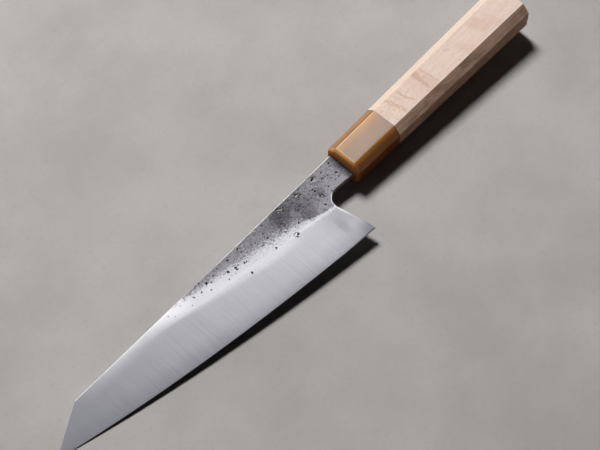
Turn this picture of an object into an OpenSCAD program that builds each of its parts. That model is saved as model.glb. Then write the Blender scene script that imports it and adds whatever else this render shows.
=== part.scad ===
// Kiritsuke knife with an octagonal handle, lying on its side.
// The blade is one forging with a hidden tang. The tang is bedded in a horn ferrule and a maple
// handle, which a slotted dowel joins end to end.
//
// Knife axes, used by every piece: X runs along the handle axis from the ferrule's front face
// towards the butt (the tip is at negative X), Y from the cutting edge up to the spine, and Z out of
// the blade's left face. in_place() then moves the origin to the middle of the knife's footprint.

/* [Blade] */
// Length from the heel to the tip, along the handle axis
blade_len = 210; // [165:5:270]
// Height of the blade at the heel, from the spine to the cutting edge
heel_height = 48.8; // [42:0.2:56]
// Height of the spine above the handle axis
spine_rise = 9.4; // [7.5:0.1:9.6]
// How much the spine falls between the ferrule and the angled tip
spine_fall = 0.5; // [0:0.1:3]
// Drop of the tip below the handle axis
tip_drop = 7.7; // [4:0.1:14]
// Length of the angled tip, along the handle axis
angled_tip_len = 28.8; // [18:0.2:40]
// Rise of the cutting edge at the heel, in degrees
edge_angle_heel = 5.0; // [2:0.1:8]
// Rise of the cutting edge at the tip, in degrees
edge_angle_tip = 13.3; // [10:0.1:18]
// Thickness of the spine at the ferrule
spine_t = 3.2; // [3.1:0.1:4]
// Thickness of the spine at the tip
tip_t = 0.9; // [0.6:0.1:1.6]
// Radius of the rounded edges of the spine, neck and choil
edge_round = 0.25; // [0.1:0.05:0.5]

/* [Grind] */
// Height of the ground bevel above the cutting edge, at the heel
grind_h = 24.5; // [18:0.5:28]
// Height of the ground bevel above the cutting edge, at the tip
grind_tip_h = 29.6; // [24:0.2:34]
// How far the ground bevel bows out from flat, as a share of its thickness
grind_bow = 0.28; // [0:0.02:0.6]
// Thickness just above the sharpened edge
behind_edge_t = 0.36; // [0.2:0.02:0.6]
// Height of the sharpened edge bevel
edge_bevel_h = 0.9; // [0.5:0.1:1.6]

/* [Neck and choil] */
// Length of the neck, from the ferrule to the heel corner
neck_len = 17; // [12:0.5:24]
// Depth of the neck below the handle axis, at the ferrule
neck_drop = 8.2; // [7:0.1:9.5]
// How much the neck narrows before the choil
neck_waist = 1.2; // [0:0.1:2.5]
// How far the choil is cut in ahead of the heel corner
choil_depth = 4.8; // [3:0.1:8]

/* [Tang] */
// Length of the tang behind the shoulders
tang_len = 104; // [70:1:115]
// Width of the tang at the shoulders
tang_w = 10.4; // [8:0.1:11.4]
// Width of the tang at its end
tang_end_w = 6.4; // [4:0.1:8]
// Thickness of the tang at the shoulders
tang_t = 2.3; // [2:0.1:2.4]
// Thickness of the tang at its end
tang_end_t = 1.8; // [1.5:0.1:2]
// Thickness of the bedding resin round the tang
bedding_t = 0.35; // [0.3:0.05:0.35]
// Thickness of the bedding resin behind the tang's end
bedding_end = 4; // [1:0.5:8]

/* [Ferrule] */
// Length of the ferrule
ferrule_len = 34.5; // [25:0.5:45]
// Height of the ferrule's front end, from edge side to spine side
front_h = 23.3; // [23:0.1:26]
// Thickness of the ferrule's front end
front_t = 19.0; // [18.4:0.1:22]
// Cut of the octagon's corners at the front
front_cut = 4.7; // [3.5:0.1:5.5]
// Radius of the ferrule's front edges on its two wide sides
front_round = 1.9; // [0.5:0.1:1.9]
// Radius of the ferrule's front edges on its two narrow sides
front_side_round = 1.1; // [0.5:0.1:1.9]
// Depth taken off the ferrule's long arrises
ferrule_arris = 0.18; // [0.02:0.02:0.3]
// Thickness of horn in front of the dowel's socket
ferrule_wall = 10; // [6:0.5:14]

/* [Handle] */
// Length of the wooden handle behind the ferrule
handle_len = 113; // [95:0.5:130]
// Height of the butt
butt_h = 27.6; // [25:0.1:31]
// Thickness of the butt
butt_t = 21.8; // [20:0.1:25]
// Cut of the octagon's corners at the butt
butt_cut = 5.2; // [4:0.1:6.5]
// Bevel round the butt end
butt_bevel = 0.5; // [0.2:0.1:2]
// Depth taken off the handle's long arrises
handle_arris = 0.06; // [0.02:0.02:0.3]

/* [Dowel] */
// Diameter of the dowel that joins ferrule and handle
dowel_d = 14; // [13.4:0.1:15]
// Length of the dowel's half in the handle
dowel_in_handle = 20; // [12:1:30]
// Glue gap round the dowel
dowel_gap = 0.05; // [0.02:0.01:0.1]

/* [Hidden] */

grip_len = ferrule_len + handle_len; // ferrule and handle together
heel_x = -neck_len;
tip_x = heel_x - blade_len;
shoulder_x = tip_x + angled_tip_len; // where the spine meets the angled tip
heel_y = spine_rise - heel_height;
tip_y = -tip_drop;
shoulder_y = spine_rise - spine_fall;
neck_y = neck_waist - neck_drop;     // underside of the neck at its narrowest

loft_step = 5;    // spacing of the blade's cross-sections
loft_margin = 2;  // how far one solid runs past another that trims it
curve_steps = 14; // segments in each curve of the blade's outline
tip_steps = 10;   // segments along the angled tip
bow_steps = 6;    // segments across the bowed grind
round_steps = 6;  // segments in each rounded front edge of the ferrule

// Curves

function mix(a, b, t) = a + (b - a) * t;

// Point on a cubic curve from a to d, with handles b and c
function bezier(a, b, c, d, t) =
    pow(1 - t, 3) * a + 3 * pow(1 - t, 2) * t * b + 3 * (1 - t) * t * t * c + t * t * t * d;

// Height of the spine at x
function spine_y(x) = mix(spine_rise, shoulder_y, x / shoulder_x);

// Height of the cutting edge at x, which runs on straight past the heel and the tip
function edge_y(x) =
    let (t = (heel_x - x) / blade_len)
    t < 0 ? heel_y + t * blade_len * tan(edge_angle_heel)
        : t > 1 ? tip_y + (t - 1) * blade_len * tan(edge_angle_tip)
        : bezier(
            heel_y,
            heel_y + blade_len / 3 * tan(edge_angle_heel),
            tip_y - blade_len / 3 * tan(edge_angle_tip),
            tip_y,
            t
        );

// Height of the ridge where the grind starts, which follows the edge until it nears the spine
function ridge_y(x) =
    min(
        edge_y(x) + mix(grind_h, grind_tip_h, max(0, heel_x - x) / blade_len),
        spine_y(x) - edge_round - 0.3
    );

// Half thickness of the forged flats, an even taper from the ferrule to the tip
function flat_half(x) = mix(spine_t, tip_t, x / tip_x) / 2;

// Half thickness of the bowed grind, a share t of the way from its foot up to the ridge
function grind_half(x, t) =
    let (top = flat_half(x), foot = min(behind_edge_t / 2, top))
    mix(foot, top, t) + grind_bow * (top - foot) * t * (1 - t);

// Half thickness of the blade at any point of its side view
function half_at(x, y) =
    let (foot_y = edge_y(x) + edge_bevel_h)
    y < foot_y
        ? max(0.02, grind_half(x, 0) * (y - edge_y(x)) / edge_bevel_h)
        : grind_half(x, min(1, (y - foot_y) / (ridge_y(x) - foot_y)));

// Radius of a rounded edge where the half thickness is half
function round_at(half) = min(edge_round, half / 3);

// Blade

// Cross-section at x as a ring of [x, y, z]: edge bevel, grind, flat and rounded spine
function section(x) =
    let (
        foot_y = edge_y(x) + edge_bevel_h,
        r = round_at(flat_half(x)),
        left = concat(
            [for (i = [0:bow_steps])
                let (t = i / bow_steps)
                [mix(foot_y, ridge_y(x), t), grind_half(x, t)]],
            [for (a = [0:30:90]) [spine_y(x) - r + r * sin(a), flat_half(x) - r + r * cos(a)]]
        ),
        n = len(left)
    )
    concat(
        [[x, edge_y(x), 0]],
        [for (p = left) [x, p[0], p[1]]],
        [for (i = [n - 1:-1:0]) [x, left[i][0], -left[i][1]]]
    );

// Closed solid swept through rings that all have the same number of points
module loft(rings) {
    n = len(rings[0]);
    last = len(rings) - 1;
    sides = [for (k = [0:last - 1], i = [0:n - 1])
        let (j = (i + 1) % n, a = k * n, b = (k + 1) * n)
        each [[a + i, b + i, a + j], [a + j, b + i, b + j]]];
    first_cap = [[for (i = [0:n - 1]) i]];
    last_cap = [[for (i = [n - 1:-1:0]) last * n + i]];
    polyhedron(points = [for (ring = rings) each ring], faces = concat(first_cap, sides, last_cap));
}

// Choil: a quarter turn down from the neck, then the long hollow back edge to the heel corner
choil_mid = [heel_x - choil_depth, mix(neck_y, heel_y, 0.24)];
choil_lean = [0.1, -1]; // direction of the curve at its deepest point
neck_end = [-0.78 * neck_len, neck_y];

function choil_turn(t) =
    bezier(
        neck_end,
        neck_end - [0.29 * neck_len, 0],
        choil_mid - 0.13 * (neck_y - heel_y) * choil_lean,
        choil_mid,
        t
    );

function heel_back(t) =
    bezier(
        choil_mid,
        choil_mid + 0.1 * (neck_y - heel_y) * choil_lean,
        [heel_x - 0.13 * choil_depth, mix(heel_y, choil_mid[1], 0.5)],
        [heel_x, heel_y],
        t
    );

// Side view of the blade, run past the edge and the spine where the loft has its own faces.
// It goes from the neck round the choil and heel, along below the edge, and up the angled tip.
tip = [tip_x, tip_y];
tip_line = [shoulder_x, shoulder_y] - tip;
outline = concat(
    [[loft_margin, spine_rise + loft_margin], [loft_margin, -neck_drop], [0, -neck_drop]],
    [for (i = [0:curve_steps]) choil_turn(i / curve_steps)],
    [for (i = [1:curve_steps]) heel_back(i / curve_steps)],
    [[heel_x + 0.1, heel_y - loft_margin]],
    [[tip_x - 0.1 * tip_line[0], heel_y - loft_margin]],
    [for (i = [-1:tip_steps]) tip + i / tip_steps * tip_line],
    [tip + 1.15 * tip_line]
);

// Direction square to the outline at point i, towards the blade
function inward(i) =
    let (
        n = len(outline),
        along = outline[(i + 1) % n] - outline[(i + n - 1) % n]
    )
    [along[1], -along[0]] / norm(along);

// The outline as a ring at one face of the blade: side is 1 for the left face and -1 for the right.
// It is drawn in by its rounding, turned through an angle, at a height that follows the thickness.
function outline_ring(side, turn, far = false) =
    [for (i = [0:len(outline) - 1])
        let (
            p = outline[i],
            half = half_at(p[0], p[1]),
            r = round_at(half),
            q = p + r * (1 - cos(turn)) * inward(i)
        )
        [q[0], q[1], side * (far ? 2 * spine_t : half - r + r * sin(turn))]];

// Solid that trims the loft to the outline and rounds the neck, choil and angled tip
module outline_trim() {
    loft(concat(
        [outline_ring(1, 90, far = true)],
        [for (turn = [90:-30:0]) outline_ring(1, turn)],
        [for (turn = [0:30:90]) outline_ring(-1, turn)],
        [outline_ring(-1, 90, far = true)]
    ));
}

module blade_body() {
    last_x = tip_x - loft_margin;
    steps = ceil(-last_x / loft_step);
    intersection() {
        loft([for (i = [0:steps]) section(last_x * i / steps)]);
        outline_trim();
    }
}

// Strip that narrows from w to end_w over its length, with a parallel lead in front
module tapered_strip(w, end_w, length, lead) {
    polygon(concat(
        lead > 0 ? [[-lead, w / 2], [-lead, -w / 2]] : [],
        [[0, -w / 2], [length, -end_w / 2], [length, end_w / 2], [0, w / 2]]
    ));
}

// Tang, or with a gap the slot round it. It starts lead ahead of the ferrule's front face.
module tang_shape(gap = 0, end_gap = 0, lead = 0) {
    end = tang_len + end_gap;
    intersection() {
        linear_extrude(2 * spine_t, center = true)
            tapered_strip(tang_w + 2 * gap, tang_end_w + 2 * gap, end, lead);
        rotate([90, 0, 0])
            linear_extrude(2 * tang_w, center = true)
                tapered_strip(tang_t + 2 * gap, tang_end_t + 2 * gap, end, lead);
    }
}

module blade() {
    color("silver")
        union() {
            blade_body();
            tang_shape(lead = loft_margin);
        }
}

// Ferrule and handle share one tapered octagon

// Distance from the axis to the side of an octagon h by t, at the angle a from the Y axis
function octagon_reach(h, t, cut, a) =
    let (c = abs(cos(a)), s = abs(sin(a)))
    max(h / 2 * c + (t / 2 - cut) * s, (h / 2 - cut) * c + t / 2 * s);

// Outline of a tapered slab from x0 to x1, with rounded front corners and a bevelled back. front
// and butt are its half widths at the ends of the grip.
module slab_outline(front, butt, x0, x1, round_r, bevel) {
    slope = (butt - front) / grip_len;
    rounding = [for (i = [0:round_steps])
        let (a = 90 * i / round_steps, dx = round_r * (1 - cos(a)))
        [x0 + dx, front + slope * (x0 + dx) - round_r * (1 - sin(a))]];
    upper = concat(
        round_r > 0 ? rounding : [[x0, front + slope * x0]],
        bevel > 0 ? [[x1 - bevel, front + slope * (x1 - bevel)]] : [],
        [[x1, front + slope * x1 - bevel]]
    );
    n = len(upper);
    polygon(concat(upper, [for (i = [n - 1:-1:0]) [upper[i][0], -upper[i][1]]]));
}

// Tapered octagonal bar from x0 to x1, the overlap of eight slabs. Four of them are its sides, and
// between them four take a little off its long arrises.
module octagon_bar(x0, x1, arris, wide_round = 0, narrow_round = 0, bevel = 0) {
    span = 2 * max(butt_h, butt_t);
    intersection_for (i = [0:7]) {
        a = 22.5 * i;
        eased = i % 2 * arris;
        rotate([a, 0, 0])
            linear_extrude(span, center = true)
                slab_outline(
                    octagon_reach(front_h, front_t, front_cut, a) - eased,
                    octagon_reach(butt_h, butt_t, butt_cut, a) - eased,
                    x0,
                    x1,
                    mix(narrow_round, wide_round, abs(sin(a))),
                    bevel
                );
    }
}

// Slot through ferrule, dowel and handle that holds the tang and its bedding
module tang_slot(lead = 0) {
    tang_shape(bedding_t, bedding_end, lead);
}

// Dowel from x0 to x1, or with a gap its socket
module dowel_rod(x0, x1, gap = 0) {
    translate([x0, 0, 0])
        rotate([0, 90, 0])
            cylinder(d = dowel_d + 2 * gap, h = x1 - x0, $fn = 64);
}

module ferrule() {
    color("peru")
        difference() {
            octagon_bar(0, ferrule_len, ferrule_arris, front_round, front_side_round);
            tang_slot(lead = 1);
            dowel_rod(ferrule_wall, ferrule_len + 1, dowel_gap);
        }
}

module dowel() {
    color("burlywood")
        difference() {
            dowel_rod(ferrule_wall + dowel_gap, ferrule_len + dowel_in_handle);
            tang_slot();
        }
}

module handle() {
    color("bisque")
        difference() {
            octagon_bar(ferrule_len, grip_len, handle_arris, bevel = butt_bevel);
            tang_slot();
            dowel_rod(ferrule_len - 1, ferrule_len + dowel_in_handle + dowel_gap, dowel_gap);
        }
}

module tang_bedding() {
    color("ivory")
        difference() {
            tang_slot();
            tang_shape(lead = 1);
        }
}

// Moves the origin to the middle of the footprint, at the height of the butt's lowest point
module in_place() {
    widest = (grip_len - butt_bevel) / grip_len;
    top_y = mix(front_h, butt_h, widest) / 2;
    low_z = mix(front_t, butt_t, widest) / 2;
    translate([-(tip_x + grip_len) / 2, -(heel_y + top_y) / 2, low_z])
        children();
}

in_place() blade();
in_place() ferrule();
in_place() dowel();
in_place() handle();
in_place() tang_bedding();
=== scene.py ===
"""Looks of the kiritsuke knife: materials, floor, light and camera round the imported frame."""

import functools
import math

import bpy
from mathutils import Matrix, Vector


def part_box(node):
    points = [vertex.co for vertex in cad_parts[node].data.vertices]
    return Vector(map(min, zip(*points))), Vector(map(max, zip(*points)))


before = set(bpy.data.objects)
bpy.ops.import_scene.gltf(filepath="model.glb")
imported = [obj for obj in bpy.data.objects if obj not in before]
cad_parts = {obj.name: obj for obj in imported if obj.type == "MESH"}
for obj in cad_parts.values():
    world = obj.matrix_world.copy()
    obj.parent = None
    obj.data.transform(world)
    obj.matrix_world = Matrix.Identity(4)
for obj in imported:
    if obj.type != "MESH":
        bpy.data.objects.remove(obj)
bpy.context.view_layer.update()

# The knife's own axes start on the handle axis at the ferrule's front face
ferrule_low, ferrule_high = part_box("ferrule")
ORIGIN = Vector((
    ferrule_low.x,
    (ferrule_low.y + ferrule_high.y) / 2,
    (ferrule_low.z + ferrule_high.z) / 2,
))
MM = 0.001

# Sizes in mm that the materials share: x of the tip, height of the spine at the ferrule and at
# the tip, length of ferrule and of the whole grip, and half the top facet at both ends of the grip
TIP = -227.0
SPINE_HEIGHT, TIP_SPINE_HEIGHT = 9.4, 8.8
FERRULE_LENGTH = 34.5
GRIP_LENGTH = 147.5
FRONT_FACET, BUTT_FACET = 6.95, 8.6


# Node helpers

class Graph:
    """A node tree with short calls for the nodes that the materials share."""

    def __init__(self, tree):
        self.tree = tree

    def add(self, kind, inputs=None, **settings):
        node = self.tree.nodes.new(kind)
        for name, value in settings.items():
            setattr(node, name, value)
        for key, value in (inputs or {}).items():
            self.put(node.inputs[key], value)
        return node

    def put(self, socket, value):
        if isinstance(value, bpy.types.NodeSocket):
            self.tree.links.new(value, socket)
        elif value is not None:
            socket.default_value = value

    def math(self, operation, a, b=None, c=None, clamp=False):
        node = self.add("ShaderNodeMath", operation=operation, use_clamp=clamp)
        for socket, value in zip(node.inputs, (a, b, c)):
            self.put(socket, value)
        return node.outputs[0]

    def times(self, *factors):
        return functools.reduce(lambda a, b: self.math("MULTIPLY", a, b), factors)

    def most(self, *values):
        return functools.reduce(lambda a, b: self.math("MAXIMUM", a, b), values)

    def less(self, a, b):
        return self.math("SUBTRACT", a, b)

    def vector(self, operation, a, b=None):
        node = self.add("ShaderNodeVectorMath", operation=operation)
        self.put(node.inputs[0], a)
        self.put(node.inputs[1], b)
        return node.outputs[0]

    def span(self, value, low, high, to_low=0.0, to_high=1.0, smooth=True):
        kind = "SMOOTHSTEP" if smooth else "LINEAR"
        node = self.add("ShaderNodeMapRange", interpolation_type=kind)
        for socket, number in zip(node.inputs, (value, low, high, to_low, to_high)):
            self.put(socket, number)
        return node.outputs[0]

    def noise(self, vector, scale, detail=3.0, rough=0.5, distortion=0.0, stretch=None):
        if stretch:
            vector = self.vector("MULTIPLY", vector, stretch)
        node = self.add("ShaderNodeTexNoise", inputs={
            "Vector": vector, "Scale": scale, "Detail": detail,
            "Roughness": rough, "Distortion": distortion,
        })
        return node.outputs["Fac"]

    def cells(self, vector, scale, stretch):
        vector = self.vector("MULTIPLY", vector, stretch)
        node = self.add("ShaderNodeTexVoronoi", inputs={"Vector": vector, "Scale": scale})
        return node.outputs["Distance"], node.outputs["Color"]

    def mix(self, factor, a, b):
        """Colour a where the factor is 0, colour b where it is 1."""
        inputs = {"Factor": factor, "A": a, "B": b}
        return self.add("ShaderNodeMix", inputs, data_type="RGBA").outputs["Result"]

    def blend(self, factor, a, b):
        """Number a where the factor is 0, number b where it is 1."""
        inputs = {"Factor": factor, "A": a, "B": b}
        return self.add("ShaderNodeMix", inputs, data_type="FLOAT").outputs["Result"]

    def curve(self, value, points):
        node = self.add("ShaderNodeFloatCurve", inputs={"Value": value})
        line = node.mapping.curves[0]
        line.points[0].location = points[0]
        line.points[1].location = points[-1]
        for point in points[1:-1]:
            line.points.new(*point)
        node.mapping.update()
        return node.outputs[0]

    def bump(self, height, distance):
        inputs = {"Height": height, "Distance": distance, "Strength": 1.0}
        node = self.add("ShaderNodeBump", inputs)
        return node.outputs["Normal"]

    def profile(self, x, points, low=-20.0, high=15.0):
        """Height in mm along the knife, on a smooth curve through (x, y) points in mm."""
        first, last = points[0][0], points[-1][0]
        along = self.span(x, first, last, smooth=False)
        height = self.curve(along, [
            ((px - first) / (last - first), (py - low) / (high - low)) for px, py in points
        ])
        return self.span(height, 0.0, 1.0, low, high, smooth=False)

    def spots(self, x, y, places, soft):
        """1 inside round places (x, y, radius) in mm with a soft rim, 0 outside them."""
        flat = self.join(x, y, 0.0)
        inside = []
        for px, py, radius in places:
            node = self.add("ShaderNodeVectorMath", operation="DISTANCE")
            self.put(node.inputs[0], flat)
            self.put(node.inputs[1], (px, py, 0.0))
            apart = node.outputs["Value"]
            inside.append(self.span(apart, radius * (1 + soft), radius * (1 - soft)))
        return self.most(*inside)

    def place(self):
        """Position on the knife in millimetres, in its own axes."""
        coordinates = self.add("ShaderNodeTexCoord").outputs["Object"]
        moved = self.vector("SUBTRACT", coordinates, tuple(ORIGIN))
        return self.vector("MULTIPLY", moved, (1 / MM, 1 / MM, 1 / MM))

    def split(self, vector):
        return self.add("ShaderNodeSeparateXYZ", inputs={0: vector}).outputs

    def join(self, x, y, z):
        return self.add("ShaderNodeCombineXYZ", inputs={0: x, 1: y, 2: z}).outputs[0]


def srgb(r, g, b):
    """Linear colour of an sRGB colour with components from 0 to 255."""
    def linear(c):
        c /= 255
        return c / 12.92 if c <= 0.04045 else ((c + 0.055) / 1.055) ** 2.4
    return (linear(r), linear(g), linear(b), 1.0)


def new_material(name):
    material = bpy.data.materials.new(name)
    material.use_nodes = True
    tree = material.node_tree
    tree.nodes.clear()
    graph = Graph(tree)
    shader = graph.add("ShaderNodeBsdfPrincipled")
    output = graph.add("ShaderNodeOutputMaterial")
    tree.links.new(shader.outputs[0], output.inputs["Surface"])
    return material, graph, shader


def dress(node, material):
    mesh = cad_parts[node].data
    mesh.materials.clear()
    mesh.materials.append(material)


# Blade

# Lines on the blade as (x, y) in mm: the ridge above the ground bevel, and where the forged skin
# has worn to a frosty grey and where it is still whole
RIDGE = [
    (0, -18), (-27, -14.6), (-47, -11.6), (-70, -9.0), (-89, -4.6), (-108, -0.6),
    (-122, 3.0), (-135, 6.6), (-150, 10.0), (-227, 15),
]
WORN = [
    (0, -17), (-23, -14.4), (-40, -12.6), (-50, -11.5), (-60, -9.5), (-70, -8.0), (-80, -5.5),
    (-90, -2.5), (-100, 0.0), (-110, 2.6), (-120, 5.0), (-130, 8.0), (-145, 12), (-227, 15),
]
WHOLE = [
    (0, -16), (-23, -13.0), (-35, -8.5), (-42, -1.0), (-50, 2.8), (-58, 5.4), (-70, 7.4),
    (-80, 8.4), (-90, 9.6), (-110, 10.2), (-130, 13), (-227, 15),
]
# Tone of the skin along the blade, from black to grey, as (x, tone); the dark start by the ferrule
# is painted shade
SKIN_TONE_AND_SHADE = [
    (0, 0.22), (-3, 0.30), (-8, 0.82), (-16, 0.76), (-24, 0.66), (-34, 0.26), (-44, 0.18),
    (-56, 0.48), (-80, 0.70), (-227, 0.80),
]
# How worn the arris of the spine is and how strong the painted highlight on it, as (x, share)
SPINE_WEAR_AND_HIGHLIGHT = [
    (0, 1.0), (-15, 0.85), (-22, 0.7), (-32, 0.8), (-40, 0.9), (-50, 0.85), (-60, 0.85),
    (-75, 0.85), (-90, 0.7), (-99, 0.3), (-110, 0.3), (-122, 0.6), (-135, 1.0), (-160, 0.9),
    (-227, 0.7),
]
# Edge of the choil as (y, x)
CHOIL = [
    (-5, -11.0), (-7.2, -17.0), (-9, -19.4), (-11, -21.0), (-14.6, -21.8), (-20, -21.1),
    (-28, -19.5), (-40, -17.0),
]
# Sharpened edge as (x, y)
EDGE = [
    (0, -40.0), (-40, -38.4), (-80, -36.4), (-100, -33.9), (-120, -28.9), (-135, -26.0),
    (-150, -23.6), (-165, -21.2), (-180, -18.6), (-195, -15.6), (-210, -12.4), (-227, -9.6),
]
# Places and sizes in mm of the clusters of pits, and of the single pits
PIT_CLUSTERS = [
    (-16.8, 5.0, 3.4), (-22.0, 2.5, 3.0), (-23.6, -5.2, 2.6), (-12.4, 2.2, 1.8), (-30.0, 5.0, 3.0),
    (-44.0, 6.4, 2.6), (-76.0, 6.0, 2.8), (-49.5, -10.5, 2.2), (-84.8, 7.4, 1.4), (-63.4, 7.2, 1.4),
    (-74.5, -2.5, 1.6), (-88.0, 0.0, 1.8), (-37.0, 0.0, 1.8), (-56.0, -2.0, 2.0),
]
SINGLE_PITS = [
    (-82.8, -8.6, 0.65), (-91.3, 1.2, 0.65), (-86.6, -1.3, 0.55), (-93.7, -2.3, 0.38),
    (-104.9, 0.4, 0.52), (-101.6, 3.6, 0.45), (-103.9, 5.2, 0.80), (-109.5, 3.4, 0.48),
    (-114.4, 4.2, 0.52), (-118.2, 1.6, 0.40), (-122.6, 6.4, 0.42), (-131.6, 6.6, 0.40),
    (-129.1, 3.9, 0.42), (-81.2, -1.4, 0.50), (-63.0, -8.1, 0.70), (-58.4, 7.6, 0.60),
    (-6.0, -0.5, 0.70), (-50.0, -11.9, 0.60), (-14.3, 2.4, 0.50), (-12.2, 2.2, 0.55),
    (-10.6, 1.8, 0.45), (-10.5, -0.6, 0.50), (-15.5, -3.4, 0.40), (-43.4, -6.6, 0.75),
]
# Soft places as (x, y, radius) in mm: where the skin is clean, dusky or rubbed, the brightest
# frost, and on the ground bevel a painted pool of light, a darker patch painted into its reflection
# and painted shade at the heel corner. For the pool and the dark patch x is multiplied by the
# factor after them, which makes the pool long and the patch short.
CLEAN = [(-12.5, -5.0, 7.0)]
DUSKY = [(-22.0, -2.0, 3.2), (-47.0, 2.0, 6.0)]
RUBBED = [(-43.5, -2.0, 4.5), (-27.0, -11.0, 5.5)]
BRIGHT_FROST = [(-124.0, 9.0, 8.0)]
LIGHT_POOL, LIGHT_POOL_FACTOR = [(-17.5, -30.5, 8.0)], 0.45
DARK_REFLECTION, DARK_REFLECTION_FACTOR = [(-62.0, -25.5, 5.0)], 2.2
HEEL_CORNER_SHADE = [(-17.0, -38.5, 6.0)]
# From a pit to the painted highlight on its rim, in mm
LIP_HIGHLIGHT_OFFSET = (0.16, 0.50, 0.0)


def steel():
    material, g, shader = new_material("forged_steel")
    p = g.place()
    x, y, _ = g.split(p)
    normal = g.add("ShaderNodeNewGeometry").outputs["Normal"]
    facing = g.math("ABSOLUTE", g.split(normal)[2])

    # Zones: black forged skin, frosty half-worn skin and the satin ground bevel
    ragged = g.less(g.noise(p, 0.75, 6, 0.68), 0.5)
    drift = g.less(g.noise(p, 0.22, 4, 0.55), 0.5)
    drift = g.math("ADD", g.times(drift, 3.0), g.times(ragged, 5.0))
    above_ridge = g.less(y, g.profile(x, RIDGE))
    bites = g.less(g.noise(p, 0.42, 4, 0.6), 0.5)
    bites = g.math("MULTIPLY_ADD", bites, 5.0, g.times(ragged, 2.0))
    torn = g.math("ADD", above_ridge, bites)
    fading = g.span(x, -44.0, -70.0)
    forged = g.blend(fading, g.span(torn, -0.3, 0.2), g.span(above_ridge, -6.5, 2.2))
    forged = g.times(forged, g.span(x, -150.0, -124.0))
    left = g.span(g.math("ADD", y, drift), g.profile(x, WORN), g.profile(x, WHOLE))
    stipple = g.noise(p, 0.9, 4, 0.68)
    black = g.math("ADD", left, g.math("MULTIPLY_ADD", stipple, 1.7, -0.85))
    black = g.blend(g.span(left, 0.0, 0.15), 0.0, g.span(black, 0.0, 0.95))
    burr = g.times(g.span(torn, 0.9, 0.25), g.span(torn, -0.7, -0.05), g.span(x, -74.0, -44.0))

    # Pits: clusters, single ones and the fine black specks of the worn skin
    warp = g.add("ShaderNodeTexNoise", inputs={"Vector": p, "Scale": 0.9, "Detail": 3.0})
    shift = g.vector("SUBTRACT", warp.outputs["Color"], (0.5, 0.5, 0.5))
    bent = g.vector("ADD", p, g.vector("MULTIPLY", shift, (2.4, 2.4, 0.0)))
    where = g.span(g.spots(x, y, PIT_CLUSTERS, 0.6), 0.3, 0.7)
    worn_part = g.times(
        g.span(x, -100.0, -88.0), g.span(x, -42.0, -50.0), g.span(above_ridge, 0.8, 2.0))

    def pitting(offset):
        at = g.vector("ADD", bent, offset)
        ax, ay, _ = g.split(at)
        apart, tint = g.cells(at, 0.55, (0.8, 1.25, 1.0))
        depth = g.less(g.span(g.split(tint)[0], 0.1, 1.0, 0.16, 0.54), apart)
        inner = g.times(g.span(depth, -0.04, 0.14), where)
        around = g.cells(at, 0.30, (0.9, 1.1, 1.0))[0]
        ring = g.span(g.math("ABSOLUTE", g.less(around, 0.36)), 0.12, 0.03)
        ring = g.times(ring, where, g.span(ragged, -0.06, 0.06), 0.8)
        few = g.times(g.span(depth, 0.20, 0.30), g.most(black, worn_part))
        return g.most(inner, ring, few, g.spots(ax, ay, SINGLE_PITS, 0.25))

    pits = pitting((0.0, 0.0, 0.0))
    # Painted highlights on the rims of the pits, on the side whose wall faces the light
    painted_lip_highlights = g.math("SUBTRACT", pitting(LIP_HIGHLIGHT_OFFSET), pits, clamp=True)
    painted_lip_highlights = g.times(painted_lip_highlights, g.most(where, 0.2))
    grit = g.noise(p, 1.7, 3, 0.6, stretch=(0.75, 1.0, 1.0))
    crowd = g.times(g.span(black, 0.02, 0.45), g.span(black, 1.0, 0.6, 0.6, 1.0))
    specks = g.span(grit, g.blend(crowd, 0.72, 0.545), g.blend(crowd, 0.76, 0.62))
    specks = g.times(specks, g.span(black, 0.0, 0.06))
    holes = g.most(pits, specks)

    # Colour of the skin, with painted shade by the ferrule from the tone profile
    mottled = g.noise(p, 0.55, 7, 0.72)
    tone = g.math("ADD", g.profile(x, SKIN_TONE_AND_SHADE, 0.0, 1.0), g.math("MULTIPLY_ADD", mottled, 2.0, -1.0))
    clean = g.times(g.span(y, 1.0, -5.0), g.spots(x, y, CLEAN, 0.4))
    tone = g.math("MULTIPLY_ADD", g.spots(x, y, RUBBED, 0.7), 0.45, tone)
    tone = g.math("MULTIPLY_ADD", g.spots(x, y, DUSKY, 0.6), -0.4, tone)
    tone = g.math("MULTIPLY_ADD", clean, 0.45, tone, clamp=True)
    skin = g.mix(tone, srgb(62, 60, 66), srgb(148, 146, 153))

    # Colour of the frost, with fine dust above the ridge
    frost = g.mix(g.noise(p, 1.6, 4, 0.7), srgb(192, 191, 196), srgb(212, 211, 216))
    frost = g.mix(g.spots(x, y, BRIGHT_FROST, 0.5), frost, srgb(216, 215, 220))
    dust = g.times(
        g.span(grit, 0.46, 0.62), g.span(above_ridge, 0.3, 2.5), g.span(x, -108.0, -88.0),
        g.span(x, -36.0, -46.0, 0.0, 0.4))
    frost = g.mix(dust, frost, srgb(138, 137, 143))

    # Colour of the ground bevel: the steel's colour, darker towards the tip and the edge as painted
    # shade where the reflection falls off
    satin = g.mix(
        g.span(x, -55.0, -205.0, smooth=False), srgb(197, 195, 200), srgb(152, 151, 158))
    from_edge = g.less(y, g.profile(x, EDGE, -41.0, -9.0))
    edge_falloff_shade = g.times(g.span(from_edge, 13.0, 0.0), g.span(x, -30.0, -90.0, 0.75, 1.0))
    satin = g.mix(g.times(edge_falloff_shade, 0.75), satin, srgb(140, 139, 146))
    # Painted shade: darker near the heel
    heel_shade = g.times(g.span(x, -40.0, -24.0, 0.0, 0.6), g.span(y, -29.0, -24.0, 0.4, 1.0))
    satin = g.mix(heel_shade, satin, srgb(164, 164, 168))
    # Painted pool of light
    light_pool = g.spots(g.times(x, LIGHT_POOL_FACTOR), y, LIGHT_POOL, 0.6)
    satin = g.mix(g.times(light_pool, 0.2), satin, srgb(222, 222, 226))
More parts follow.
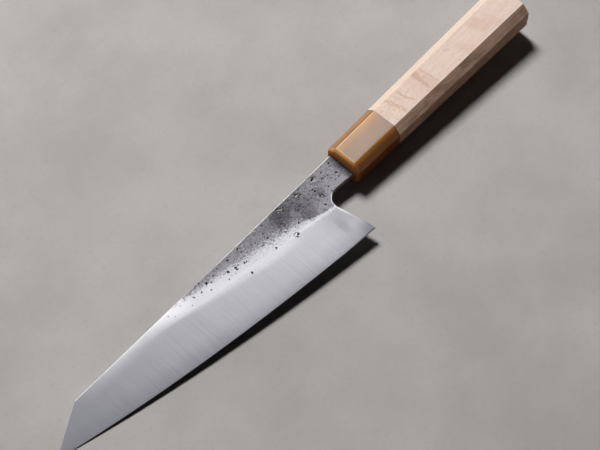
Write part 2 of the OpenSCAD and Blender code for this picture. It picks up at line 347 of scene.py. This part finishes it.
    # A darker patch painted into the reflection
    dark_reflection = g.spots(g.times(x, DARK_REFLECTION_FACTOR), y, DARK_REFLECTION, 0.7)
    satin = g.mix(g.times(dark_reflection, 0.55), satin, srgb(160, 159, 163))
    # Painted dark reflection on the sharpened bevel near the heel
    bevel_dark_reflection = g.times(g.span(from_edge, 1.4, 0.5), g.span(x, -80.0, -26.0))
    satin = g.mix(g.times(bevel_dark_reflection, 0.8), satin, srgb(84, 84, 90))
    # Painted shade at the heel corner
    satin = g.mix(g.times(g.spots(x, y, HEEL_CORNER_SHADE, 0.8), 0.5), satin, srgb(120, 120, 126))

    color = g.mix(forged, satin, g.mix(black, frost, skin))
    color = g.mix(g.times(burr, 0.7), color, srgb(214, 214, 219))
    # Painted highlights beside the pits
    color = g.mix(g.times(painted_lip_highlights, 0.85), color, srgb(200, 199, 204))
    color = g.mix(g.times(specks, 0.85), color, srgb(30, 29, 33))
    color = g.mix(pits, color, srgb(12, 11, 13))

    # Worn arrises of the spine and choil with painted highlights on them, and a broad painted glow
    # below the spine towards the tip
    spine = g.span(x, 0.0, TIP, SPINE_HEIGHT, TIP_SPINE_HEIGHT, smooth=False)
    from_spine = g.less(spine, y)
    uneven = g.span(g.noise(p, 0.35, 4, 0.65), 0.36, 0.56, 0.6, 1.0)
    spine_wear_and_highlight = g.times(
        g.span(from_spine, 0.62, 0.32), g.span(x, -0.3, -2.0), g.profile(x, SPINE_WEAR_AND_HIGHLIGHT, 0.0, 1.0),
        uneven)
    glow = g.span(from_spine, 9.5, -0.5, smooth=False)
    spine_painted_glow = g.most(g.span(from_spine, 1.8, 0.3, 0.0, 0.7), g.times(glow, glow, 0.62))
    spine_painted_glow = g.times(spine_painted_glow, g.span(x, -114.0, -132.0), g.span(x, -208.0, -155.0))
    from_choil = g.math("ABSOLUTE", g.less(g.profile(y, CHOIL, -25.0, -10.0), x))
    choil_wear_and_highlight = g.times(
        g.span(from_choil, 0.72, 0.36), g.span(y, -30.0, -15.0), g.span(y, -6.9, -8.6))
    rim = g.most(spine_wear_and_highlight, spine_painted_glow, choil_wear_and_highlight)
    color = g.mix(g.times(rim, 0.95), color, srgb(248, 248, 250))

    # Brushed lines of the ground bevel run from edge to spine
    lines = g.less(g.noise(p, 1.0, 4, 0.75, stretch=(2.0, 0.02, 0.02)), 0.5)
    bands = g.less(g.noise(p, 0.10, 3, 0.6, stretch=(1.0, 0.15, 0.15)), 0.5)
    streaks = g.math("ADD", lines, g.times(bands, 0.25))
    contrast = g.span(x, -80.0, -140.0, 0.42, 0.62)
    bright = g.blend(forged, g.math("MULTIPLY_ADD", streaks, contrast, 1.0), 1.0)
    color = g.vector("MULTIPLY", color, g.join(bright, bright, bright))

    # The sharpened edge is stoned, not brushed
    stoned = g.times(
        g.span(facing, 0.992, 0.985), g.span(y, 0.0, -2.0), g.span(x, -24.0, -70.0))
    rough = g.blend(forged, g.math("MULTIPLY_ADD", lines, 0.10, 0.32), 0.58)
    rough = g.blend(g.times(stoned, 0.9), rough, 0.62)
    rough = g.blend(g.times(holes, 0.9), rough, 0.9)
    metal = g.blend(forged, 1.0, g.blend(black, 1.0, 0.0))
    metal = g.times(metal, g.less(1.0, holes))
    metal = g.times(metal, g.math("MULTIPLY_ADD", g.most(rim, stoned), -0.6, 1.0))
    g.put(shader.inputs["Base Color"], color)
    g.put(shader.inputs["Roughness"], rough)
    g.put(shader.inputs["Metallic"], metal)
    shader.inputs["Anisotropic"].default_value = 0.2
    g.put(shader.inputs["Tangent"], g.vector("CROSS_PRODUCT", (0.0, 1.0, 0.0), normal))

    # Relief: pits, grit in the skin and faint brush lines
    grain = g.noise(p, 1.4, 5, 0.7)
    relief = g.math("MULTIPLY_ADD", grain, 0.45, g.times(mottled, 0.4))
    height = g.blend(forged, g.times(lines, 0.03), g.less(relief, holes))
    g.put(shader.inputs["Normal"], g.bump(height, 0.12 * MM))
    return material


# Ferrule and handle

def past_facet(g, x, y):
    """How far in mm a point lies beyond the arrises of the top facet, to either side."""
    half = g.span(x, 0, GRIP_LENGTH, FRONT_FACET, BUTT_FACET, smooth=False)
    return g.less(g.math("ABSOLUTE", y), half)


def horn():
    material, g, shader = new_material("blonde_horn")
    p = g.place()
    x, y, z = g.split(p)
    streaks = g.noise(p, 0.30, 4, 0.5, 0.3, stretch=(0.10, 1.0, 1.0))
    fibres = g.noise(p, 1.3, 3, 0.6, stretch=(0.06, 1.0, 1.0))
    clouds = g.noise(p, 0.07, 3, 0.5, stretch=(0.6, 1.0, 1.0))
    color = g.mix(g.span(streaks, 0.32, 0.68), srgb(150, 84, 26), srgb(172, 110, 48))
    color = g.mix(g.times(g.span(clouds, 0.42, 0.66), 0.5), color, srgb(120, 68, 26))
    color = g.mix(g.span(fibres, 0.35, 0.75, 0.0, 0.12), color, srgb(172, 126, 82))

    # Painted sheen on the facets of the upper half: the top one, and the chamfer towards the spine,
    # with a darker amber band along its arris
    outward = past_facet(g, x, y)
    spine_side = g.span(y, -0.5, 0.5)
    edge_side = g.less(1.0, spine_side)
    above = g.span(z, 0.0, 3.0)
    flat = g.times(g.span(outward, 0.15, -0.15), g.span(x, 1.6, 1.95), above)
    painted_top_sheen = g.mix(g.span(y, 7.0, -0.5), srgb(206, 166, 130), srgb(173, 154, 142))
    painted_top_sheen = g.mix(g.span(streaks, 0.4, 0.7, 0.0, 0.4), painted_top_sheen, srgb(186, 154, 134))
    color = g.mix(g.times(flat, 0.85), color, painted_top_sheen)
    spine_face = g.times(g.span(outward, 0.0, 0.6), spine_side, above)
    color = g.mix(g.times(spine_face, 0.7), color, srgb(164, 130, 98))
    amber_band = g.times(g.span(outward, 0.0, 0.3), g.span(outward, 1.7, 0.8, 0.0, 0.9), spine_face)
    color = g.mix(amber_band, color, srgb(136, 84, 32))

    # Towards the edge the light fades in the horn: golden at the arris, brown farther off
    golden = g.times(edge_side, g.span(outward, 3.2, 0.5), g.span(outward, -0.3, 0.0))
    color = g.mix(g.times(golden, 0.85), color, srgb(192, 128, 40))
    brown = g.times(edge_side, g.span(outward, 1.2, 3.4))
    color = g.mix(g.times(brown, 0.9), color, srgb(146, 82, 10))

    # Painted highlights: pale lines along the top facet's spine side and front, and on the lower
    # arris
    line = g.times(
        g.span(outward, -0.55, -0.25), g.span(outward, 0.1, -0.15), spine_side, above,
        g.span(x, 1.5, 2.0))
    front_arris_highlight = g.times(
        g.span(x, 1.5, 1.8), g.span(x, 2.4, 2.1), above, g.span(outward, 0.0, -0.3, 0.0, 0.7))
    color = g.mix(g.times(g.most(line, front_arris_highlight), 0.55), color, srgb(240, 222, 198))
    # Painted light on the front face: a golden glow on its rounding, and a deeper orange glow where
    # it lies in shade by the blade
    front = g.times(
        g.span(x, 2.0, 1.2), g.span(z, 1.0, 8.0), g.span(y, -11.0, 9.0, 0.5, 0.85))
    color = g.mix(front, color, srgb(202, 148, 86))
    shaded_front_glow = g.times(g.span(x, 2.0, 0.2), g.span(z, 7.0, 3.0), 0.7)
    color = g.mix(shaded_front_glow, color, srgb(186, 108, 40))
    low = g.times(
        g.span(z, 4.2, 4.7), g.span(z, 5.3, 4.9), g.span(x, 2.0, 4.5),
        g.span(y, -9.5, -10.5, 0.0, 0.5))
    color = g.mix(low, color, srgb(226, 176, 120))
    joint = g.span(x, FERRULE_LENGTH - 0.8, FERRULE_LENGTH - 0.2)
    joint = g.times(joint, g.span(outward, 0.0, 0.3, 0.0, 0.8))
    color = g.mix(joint, color, srgb(60, 32, 12))
    g.put(shader.inputs["Base Color"], color)
    polish = g.span(streaks, 0.3, 0.7, 0.40, 0.34)
    g.put(shader.inputs["Roughness"], g.blend(g.span(x, 1.6, 0.3), polish, 0.9))
    shader.inputs["Specular IOR Level"].default_value = 0.18
    shader.subsurface_method = "BURLEY"
    shader.inputs["Subsurface Weight"].default_value = 1.0
    shader.inputs["Subsurface Radius"].default_value = (0.0045, 0.0026, 0.0013)
    shader.inputs["Subsurface Scale"].default_value = 1.0
    height = g.math("ADD", streaks, g.times(fibres, 0.3))
    g.put(shader.inputs["Normal"], g.bump(height, 0.02 * MM))
    return material


# Curly bands across the grain: x and y of the middle, lean, half length, half width at the edge
# side and at the spine side, in mm, softness of the rim and strength
FIGURE = [
    (67.4, 1.0, 0.05, 6.6, 0.7, 2.1, 0.9, 1.0), (73.0, 0.2, -0.08, 7.0, 0.6, 0.4, 0.9, 1.0),
    (70.6, -2.5, 0.0, 5.0, 2.6, 1.4, 1.5, 0.4), (53.4, 1.0, -0.33, 5.6, 0.5, 0.8, 0.8, 1.0),
    (45.0, 0.6, -0.2, 7.0, 1.5, 0.9, 1.1, 0.9), (49.6, 3.0, -0.3, 4.0, 0.8, 0.8, 1.2, 0.35),
    (68.0, -12.0, -0.3, 5.0, 2.4, 2.4, 1.0, 0.9), (47.5, -11.0, -0.3, 4.0, 2.6, 2.4, 1.0, 0.7),
    (92.6, 3.4, -0.9, 1.2, 0.5, 0.5, 1.0, 0.6), (92.2, -6.3, -0.9, 0.9, 0.8, 0.5, 1.0, 0.6),
    (101.5, -4.0, -0.4, 6.5, 4.5, 3.0, 1.5, 0.3), (119.5, 1.0, -0.3, 6.0, 5.0, 4.0, 1.5, 0.4),
    (127.0, -4.0, -0.3, 7.0, 3.5, 3.0, 1.5, 0.3), (83.0, -11.0, -0.3, 4.0, 2.6, 2.6, 1.5, 0.4),
]


def figure(g, color, p):
    """Curl, flecks, the tone of each face of the handle's left half with painted shade on the edge
    side, and a painted highlight along one arris.
    """
    straight_x, straight_y, z = g.split(p)
    strokes = g.noise(p, 1.6, 3, 0.6, stretch=(0.06, 1.0, 1.0))
    jitter = g.math("MULTIPLY_ADD", strokes, 1.4, -0.7)
    sway = g.math("MULTIPLY_ADD", g.noise(p, 0.16, 2, 0.5), 4.0, -2.0)
    x = g.math("ADD", g.math("ADD", straight_x, jitter), sway)
    bands = []
    for cx, cy, lean, half_length, edge_width, spine_width, rim, strength in FIGURE:
        along = g.less(straight_y, cy)
        middle = g.math("MULTIPLY_ADD", along, lean, cx)
        width = g.span(along, -half_length, half_length, edge_width, spine_width, smooth=False)
        aside = g.less(g.math("ABSOLUTE", g.less(x, middle)), width)
        ends = g.span(g.math("ABSOLUTE", along), half_length * 1.2, half_length * 0.8)
        bands.append(g.times(g.span(aside, rim, -rim, 0.0, strength), ends))
    color = g.mix(g.times(g.most(*bands), 0.75), color, srgb(199, 160, 139))

    # Flecks, thickest near the ferrule
    near = g.span(straight_x, 67.0, 40.0)
    swaying = g.vector("ADD", p, g.join(0.0, g.times(sway, 1.5), 0.0))
    flecks = g.noise(swaying, 2.5, 3, 0.6, stretch=(0.25, 0.8, 0.8))
    fleck = g.times(g.span(flecks, 0.52, 0.68), g.blend(near, 0.04, 0.10))
    color = g.mix(fleck, color, srgb(206, 166, 148))
    pale = g.times(g.span(flecks, 0.54, 0.34), g.blend(near, 0.08, 0.7))
    color = g.mix(pale, color, srgb(247, 232, 221))

    # Towards the spine: cream and even; towards the edge: darker and warmer as painted shade, with
    # oblique streaks
    outward = past_facet(g, straight_x, straight_y)
    past = g.span(outward, 0.0, 0.25)
    edge_side = g.span(straight_y, 0.1, -0.1)
    spine_face = g.times(past, g.span(straight_y, -0.1, 0.1))
    edge_face = g.times(past, edge_side)
    color = g.mix(g.times(spine_face, 0.6), color, srgb(222, 204, 188))
    color = g.mix(g.times(edge_face, 0.6), color, srgb(224, 182, 156))
    tilted = g.join(g.math("MULTIPLY_ADD", z, 1.2, straight_x), straight_y, z)
    streak = g.noise(tilted, 0.7, 6, 0.66, 0.6, stretch=(0.06, 1.2, 1.2))
    dark_line = g.times(edge_face, g.span(streak, 0.46, 0.70, 0.0, 0.6))
    color = g.mix(dark_line, color, srgb(142, 104, 82))
    blotch = g.noise(p, 0.13, 3, 0.6, stretch=(0.5, 1.0, 1.0))
    blotch = g.times(edge_face, g.span(blotch, 0.45, 0.65, 0.0, 0.5))
    color = g.mix(blotch, color, srgb(150, 110, 88))

    # Painted highlight along the arris between the top and the edge side
    from_arris = g.math("ADD", outward, 0.2)
    arris_highlight = g.times(
        g.span(from_arris, 0.35, 0.05), g.span(from_arris, -0.35, -0.05), edge_side, 0.8,
        g.span(z, 7.0, 8.5))
    return g.mix(arris_highlight, color, srgb(250, 234, 222))


def maple(name, light, dark, figured):
    material, g, shader = new_material(name)
    p = g.place()
    grain = g.noise(p, 0.8, 5, 0.6, 0.2, stretch=(0.05, 1.0, 1.0))
    fibres = g.noise(p, 3.2, 3, 0.65, stretch=(0.08, 1.0, 1.0))
    clouds = g.noise(p, 0.05, 3, 0.5)
    color = g.mix(g.span(grain, 0.25, 0.8), light, dark)
    color = g.mix(g.span(clouds, 0.42, 0.68, 0.0, 0.55), color, dark)
    if figured:
        color = figure(g, color, p)
    color = g.mix(g.span(fibres, 0.46, 0.78, 0.0, 0.5), color, srgb(184, 146, 124))
    g.put(shader.inputs["Base Color"], color)
    g.put(shader.inputs["Roughness"], g.span(fibres, 0.3, 0.7, 0.5, 0.62))
    shader.inputs["Specular IOR Level"].default_value = 0.3
    shader.inputs["Subsurface Weight"].default_value = 0.2
    shader.inputs["Subsurface Radius"].default_value = (0.0035, 0.0018, 0.0010)
    shader.inputs["Subsurface Scale"].default_value = 1.0
    g.put(shader.inputs["Normal"], g.bump(fibres, 0.04 * MM))
    return material


def resin():
    material, g, shader = new_material("cured_resin")
    p = g.place()
    color = g.mix(g.noise(p, 0.4, 3), srgb(214, 204, 176), srgb(196, 182, 148))
    g.put(shader.inputs["Base Color"], color)
    shader.inputs["Roughness"].default_value = 0.45
    g.put(shader.inputs["Normal"], g.bump(g.noise(p, 1.5, 3), 0.05 * MM))
    return material


dress("blade", steel())
dress("ferrule", horn())
dress("handle", maple("figured_maple", srgb(229, 209, 198), srgb(219, 194, 181), True))
dress("dowel", maple("plain_hardwood", srgb(206, 176, 136), srgb(180, 146, 104), False))
dress("tang_bedding", resin())


# Floor: the knife lies on its tip and on the ferrule's lower front edge, so the floor slopes
# gently in the knife's frame

# Height in mm up to which the ferrule's points count as its underside, and how far in front of
# them in mm the blade's points count
UNDERSIDE, AHEAD = 1.5, 100
# Half the floor's side and the lamps' distance in m, and the world's strength for the two kinds
# of rays
FLOOR_HALF = 3.0
LAMP_DISTANCE = 1.9
DIM_LEVEL, SEEN_LEVEL = 0.01, 0.62


def points(node):
    return [vertex.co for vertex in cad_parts[node].data.vertices]


def resting_plane():
    """Contact point under the ferrule, and the slope down from the tip to it."""
    best = None
    for low in (v for v in points("ferrule") if v.z < ferrule_low.z + UNDERSIDE * MM):
        far = [v for v in points("blade") if v.x < low.x - AHEAD * MM]
        drop = min((v.z - low.z) / (low.x - v.x) for v in far)
        if best is None or drop > best[0]:
            best = (drop, low)
    return Vector((best[1].x, ORIGIN.y, best[1].z)), math.atan(best[0])


def seen_rays(g):
    """1 for the rays that show a surface as it is: camera, glossy and transmission rays."""
    path = g.add("ShaderNodeLightPath").outputs
    return g.most(path["Is Camera Ray"], path["Is Glossy Ray"], path["Is Transmission Ray"])


def floor():
    material, g, shader = new_material("pale_floor")
    coordinates = g.add("ShaderNodeTexCoord").outputs["Object"]
    p = g.vector("MULTIPLY", coordinates, (1 / MM, 1 / MM, 1 / MM))
    cloud = g.noise(p, 0.012, 5, 0.6)
    fine = g.noise(p, 0.35, 4, 0.6)
    color = g.mix(g.span(cloud, 0.3, 0.7), srgb(167, 164, 162), srgb(181, 178, 177))
    color = g.mix(g.span(fine, 0.5, 0.75, 0.0, 0.25), color, srgb(154, 151, 149))
    g.put(shader.inputs["Base Color"], g.mix(seen_rays(g), srgb(134, 118, 104), color))
    shader.inputs["Roughness"].default_value = 0.9
    shader.inputs["Specular IOR Level"].default_value = 0.1
    g.put(shader.inputs["Normal"], g.bump(fine, 0.15 * MM))
    mesh = bpy.data.meshes.new("floor")
    r = FLOOR_HALF
    mesh.from_pydata([(-r, -r, 0), (r, -r, 0), (r, r, 0), (-r, r, 0)], [], [(0, 1, 2, 3)])
    mesh.materials.append(material)
    obj = bpy.data.objects.new("floor", mesh)
    bpy.context.scene.collection.objects.link(obj)
    obj.location, slope = resting_plane()
    obj.rotation_euler = (0, slope, 0)


floor()


# Light: a soft key over the spine side and a weak fill from the tip's side, both for matt light
# only, and two lamps for gloss only. The room is pale to look at and dark for matt light.

def lamp(name, direction, size, watts, color, leaves_out):
    """A round lamp aimed at the origin, which leaves out the diffuse or the glossy light."""
    light = bpy.data.lights.new(name, "AREA")
    light.shape = "DISK"
    light.size = size
    light.energy = watts
    light.color = color
    obj = bpy.data.objects.new(name, light)
    bpy.context.scene.collection.objects.link(obj)
    obj.location = ORIGIN + Vector(direction).normalized() * LAMP_DISTANCE
    obj.rotation_euler = (ORIGIN - obj.location).to_track_quat("-Z", "Y").to_euler()
    setattr(obj, "visible_" + leaves_out, False)


lamp("key", (0.20, 0.56, 0.85), 0.56, 41.0, (1.0, 0.99, 0.975), "glossy")
lamp("sheen", (0.55, 0.60, 0.80), 0.60, 14.0, (1.0, 0.99, 0.98), "diffuse")
lamp("glint", (0.35, 0.88, 0.32), 0.60, 9.0, (1.0, 0.99, 0.98), "diffuse")
lamp("fill", (-0.75, 0.55, 0.45), 0.80, 3.5, (1.0, 0.97, 0.94), "glossy")

world = bpy.data.worlds.new("studio")
bpy.context.scene.world = world
world.use_nodes = True
world.node_tree.nodes.clear()
sky = Graph(world.node_tree)
level = sky.blend(seen_rays(sky), DIM_LEVEL, SEEN_LEVEL)
background = sky.add("ShaderNodeBackground", {"Color": (0.97, 0.985, 1.0, 1), "Strength": level})
sky.put(sky.add("ShaderNodeOutputWorld").inputs[0], background.outputs[0])


# Camera, fitted to the photograph's corners of the handle

camera = bpy.data.cameras.new("camera")
camera.sensor_width = 36.0
camera.lens = 102.0
camera.clip_start = 0.01
view = bpy.data.objects.new("camera", camera)
bpy.context.scene.collection.objects.link(view)
right = Vector((0.67464718, -0.73813924, -0.00127847))
up = Vector((0.65118616, 0.59435614, 0.47190822))
look = Vector((0.34757412, 0.31920407, -0.88164675))
turn = Matrix((right, up, -look)).transposed().to_4x4()
view.matrix_world = Matrix.Translation(ORIGIN + Vector((-0.366597, -0.304262, 0.819733))) @ turn
bpy.context.scene.camera = view

bpy.context.scene.view_settings.view_transform = "Standard"
